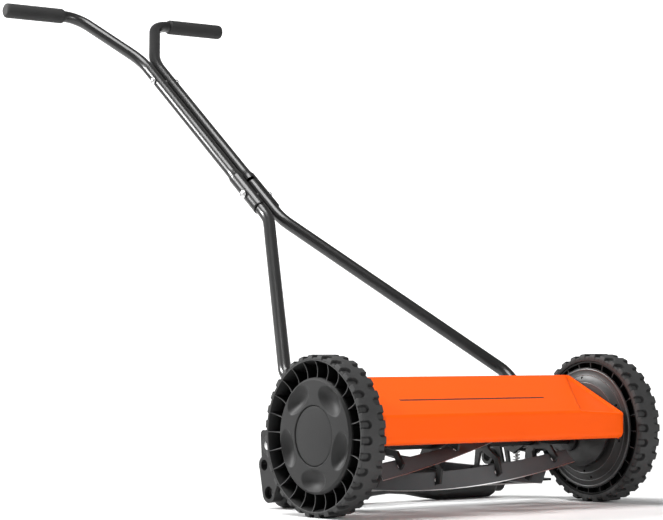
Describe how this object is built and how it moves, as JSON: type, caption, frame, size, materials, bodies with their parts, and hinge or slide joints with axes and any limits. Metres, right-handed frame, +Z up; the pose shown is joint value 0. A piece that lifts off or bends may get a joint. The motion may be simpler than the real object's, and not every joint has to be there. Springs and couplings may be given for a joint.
{
  "type": "reel mower",
  "caption": "Push reel mower: geared ground wheels drive a helical-blade reel against a sprung bed knife under a sheet cover, with rear roller and T handle.",
  "frame": {"origin": "on the ground, under the middle of the whole mower's box", "axes": "+Z up, -Y is the direction of travel, the handle rises towards +Y, +X is the pusher's left"},
  "size_m": [0.634, 1.1928, 0.9237],
  "materials": {
    "tyre": "moulded dark grey tread, matte, lightly pebbled",
    "wheel_plastic": "fine-textured dark grey moulded plastic",
    "black_plastic": "black moulded plastic, satin",
    "frame_paint": "black stove enamel on pressed steel",
    "orange_paint": "glossy orange powder coat on sheet steel",
    "handle_enamel": "semi-gloss dark grey enamel on steel tube",
    "grip_rubber": "soft black foam rubber, matte",
    "zinc": "bright zinc plate",
    "blade_steel": "dark hardened steel with a ground bright edge"
  },
  "bodies": {
    "frame": {"rear_tie_rod": "frame_paint", "reel_cover": "orange_paint", "side_plate_left": "frame_paint", "side_plate_right": "frame_paint", "gear_shield_left": "black_plastic", "gear_shield_right": "black_plastic", "axle_left": "zinc", "axle_right": "zinc", "wheel_clip_left": "zinc", "wheel_clip_right": "zinc", "reel_bearing_left": "zinc", "reel_bearing_right": "zinc", "cover_screw_left": "zinc", "cover_screw_right": "zinc", "bar_pivot_bolt_left": "zinc", "bar_pivot_bolt_right": "zinc", "adjuster_screw_left": "zinc", "adjuster_screw_right": "zinc", "adjuster_spring_left": "zinc", "adjuster_spring_right": "zinc", "height_clamp_left": "zinc", "height_clamp_right": "zinc", "handle_pivot_bolt_left": "zinc", "handle_pivot_bolt_right": "zinc"},
    "cutter_bar": {"cutter_bar": "frame_paint", "bed_knife": "blade_steel"},
    "reel": {"reel_shaft": "zinc", "spider_1": "frame_paint", "spider_2": "frame_paint", "spider_3": "frame_paint", "spider_4": "frame_paint", "blade_1": "blade_steel", "blade_2": "blade_steel", "blade_3": "blade_steel", "blade_4": "blade_steel", "blade_5": "blade_steel", "drive_pawl_left": "zinc", "drive_pawl_right": "zinc"},
    "pinion_left": {"pinion_left": "zinc"},
    "pinion_right": {"pinion_right": "zinc"},
    "wheel_left": {"tyre_left": "tyre", "wheel_rim_left": "wheel_plastic", "hub_cap_left": "wheel_plastic", "centre_cap_left": "wheel_plastic"},
    "wheel_right": {"tyre_right": "tyre", "wheel_rim_right": "wheel_plastic", "hub_cap_right": "wheel_plastic", "centre_cap_right": "wheel_plastic"},
    "roller_carriage": {"roller_rod": "zinc", "roller_bracket_left": "black_plastic", "roller_bracket_right": "black_plastic"},
    "rear_roller": {"rear_roller": "black_plastic"},
    "handle": {"lower_tube_left": "handle_enamel", "lower_tube_right": "handle_enamel", "upper_tube_left": "handle_enamel", "upper_tube_right": "handle_enamel", "grip_left": "grip_rubber", "grip_right": "grip_rubber", "junction_bolt": "zinc", "flare_bolt": "zinc"}
  },
  "joints": [
    {"name": "wheel_left_spin", "type": "hinge", "parent": "frame", "child": "wheel_left", "pos_m": [0.294, -0.47145, 0.125], "axis": [1, 0, 0], "continuous": true},
    {"name": "wheel_right_spin", "type": "hinge", "parent": "frame", "child": "wheel_right", "pos_m": [-0.294, -0.47145, 0.125], "axis": [1, 0, 0], "continuous": true},
    {"name": "reel_spin", "type": "hinge", "parent": "frame", "child": "reel", "pos_m": [0, -0.44545, 0.1055], "axis": [1, 0, 0], "continuous": true},
    {"name": "pinion_left_spin", "type": "hinge", "parent": "frame", "child": "pinion_left", "pos_m": [0.279, -0.44545, 0.1055], "axis": [1, 0, 0], "continuous": true},
    {"name": "pinion_right_spin", "type": "hinge", "parent": "frame", "child": "pinion_right", "pos_m": [-0.279, -0.44545, 0.1055], "axis": [1, 0, 0], "continuous": true},
    {"name": "knife_tilt", "type": "hinge", "parent": "frame", "child": "cutter_bar", "pos_m": [0, -0.36145, 0.089], "axis": [1, 0, 0], "range_deg": [0, 1.5], "stiffness_Nm_per_rad": 10, "springref_deg": -3.44, "deforming": ["adjuster_spring_left", "adjuster_spring_right"]},
    {"name": "roller_height", "type": "slide", "parent": "frame", "child": "roller_carriage", "axis": [0, 0.2588, 0.9659], "range_m": [0, 0.04]},
    {"name": "roller_spin", "type": "hinge", "parent": "roller_carriage", "child": "rear_roller", "pos_m": [0, -0.26945, 0.0255], "axis": [1, 0, 0], "continuous": true},
    {"name": "handle_lift", "type": "hinge", "parent": "frame", "child": "handle", "pos_m": [0, -0.36945, 0.1633], "axis": [1, 0, 0], "range_deg": [0, 60]}
  ],
  "couplings": [
    {"joint": "reel_spin", "follows": "wheel_left_spin", "ratio": 2.8571},
    {"joint": "pinion_left_spin", "follows": "wheel_left_spin", "ratio": 2.8571},
    {"joint": "pinion_right_spin", "follows": "wheel_right_spin", "ratio": 2.8571}
  ]
}
